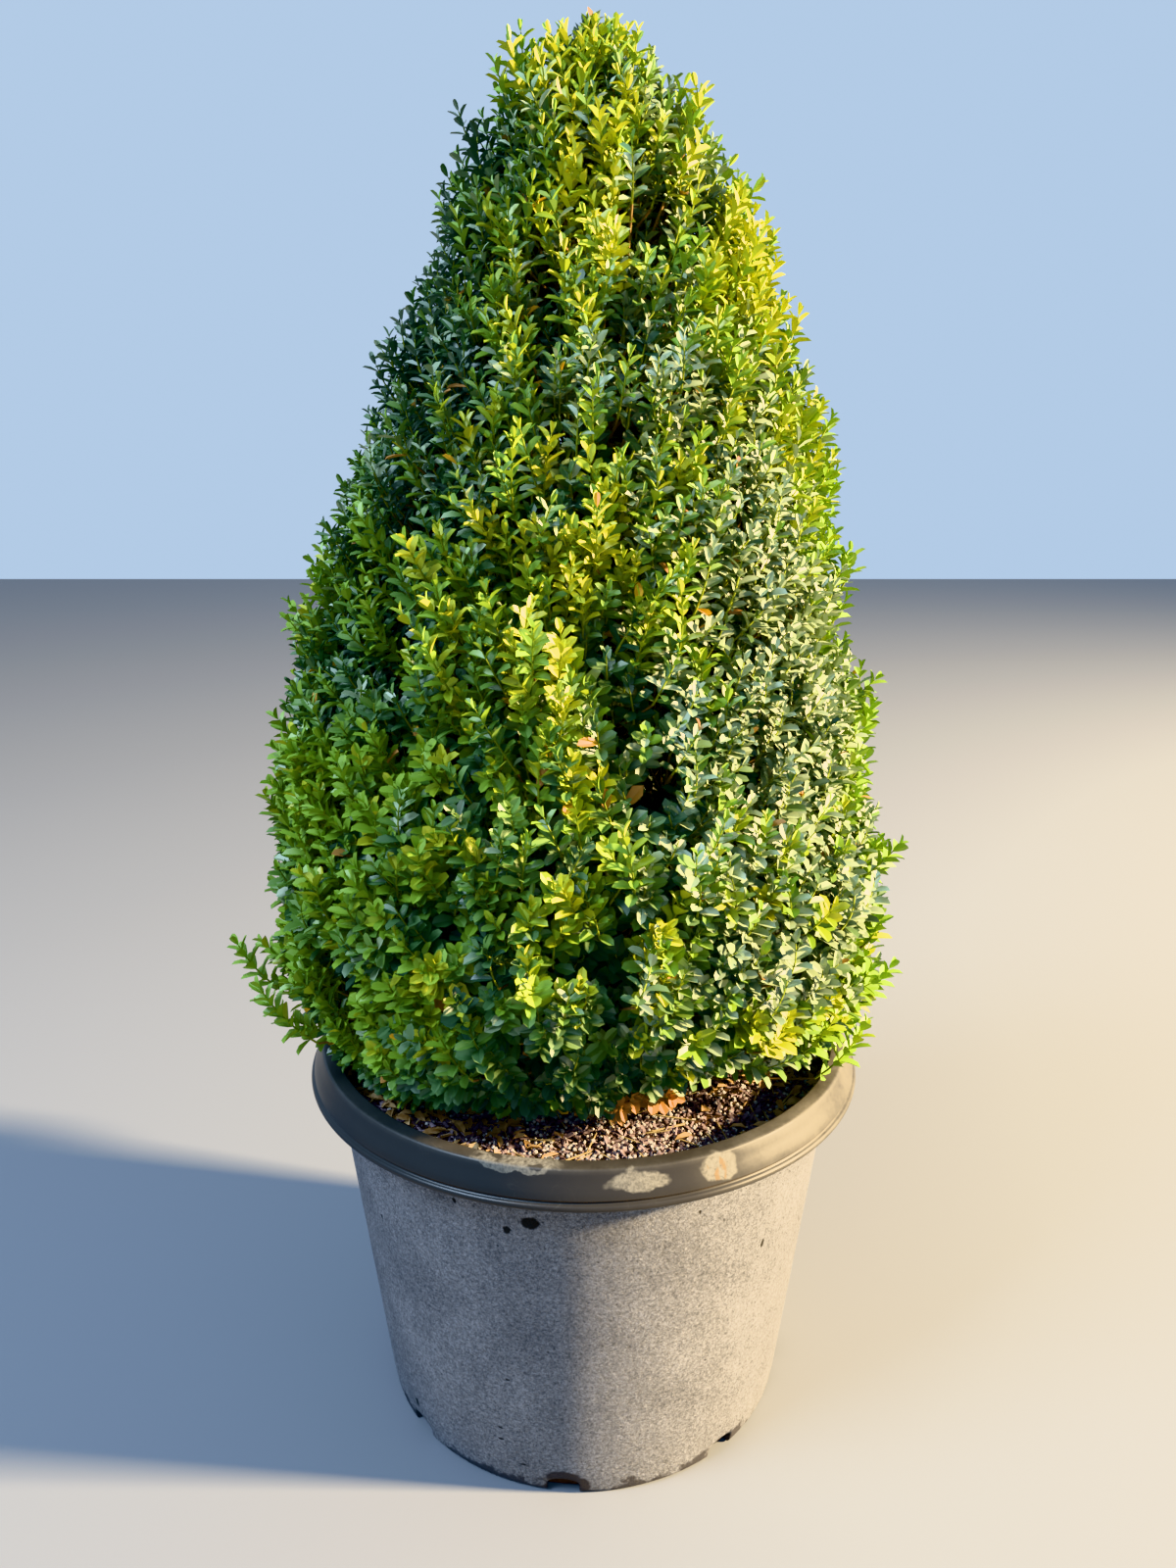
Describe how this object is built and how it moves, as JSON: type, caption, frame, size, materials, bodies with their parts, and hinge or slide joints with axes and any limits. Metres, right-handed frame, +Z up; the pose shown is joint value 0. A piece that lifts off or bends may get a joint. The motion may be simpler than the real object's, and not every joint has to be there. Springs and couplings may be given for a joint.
{
  "type": "boxwood cone topiary in a nursery pot",
  "caption": "Boxwood clipped to a blunt cone, with a leafy crown over short upright boughs, in a round tapered nursery pot with a rolled rim.",
  "frame": {"origin": "centre of the pot's flat underside, where it stands on the ground", "axes": "+Z up along the pot's axis, -Y towards the side seen in the picture, +X to its right"},
  "size_m": [0.7323, 0.6929, 1.5064],
  "materials": {
    "pot": "dusty grey moulded polyethylene with a darker satin rim",
    "root_ball": "moist composted bark with white perlite grains",
    "bark": "fissured corky bark",
    "foliage": "small leathery evergreen leaves, yellow-green at the shoot tips"
  },
  "bodies": {
    "root": {"pot": "pot", "root_ball": "root_ball", "trunk": "bark", "bough_1": "bark", "bough_2": "bark", "bough_3": "bark", "bough_4": "bark", "bough_5": "bark", "bough_6": "bark", "foliage_side_1": "foliage", "foliage_side_2": "foliage", "foliage_side_3": "foliage", "foliage_side_4": "foliage", "foliage_side_5": "foliage", "foliage_side_6": "foliage", "foliage_tip": "foliage"}
  },
  "joints": []
}
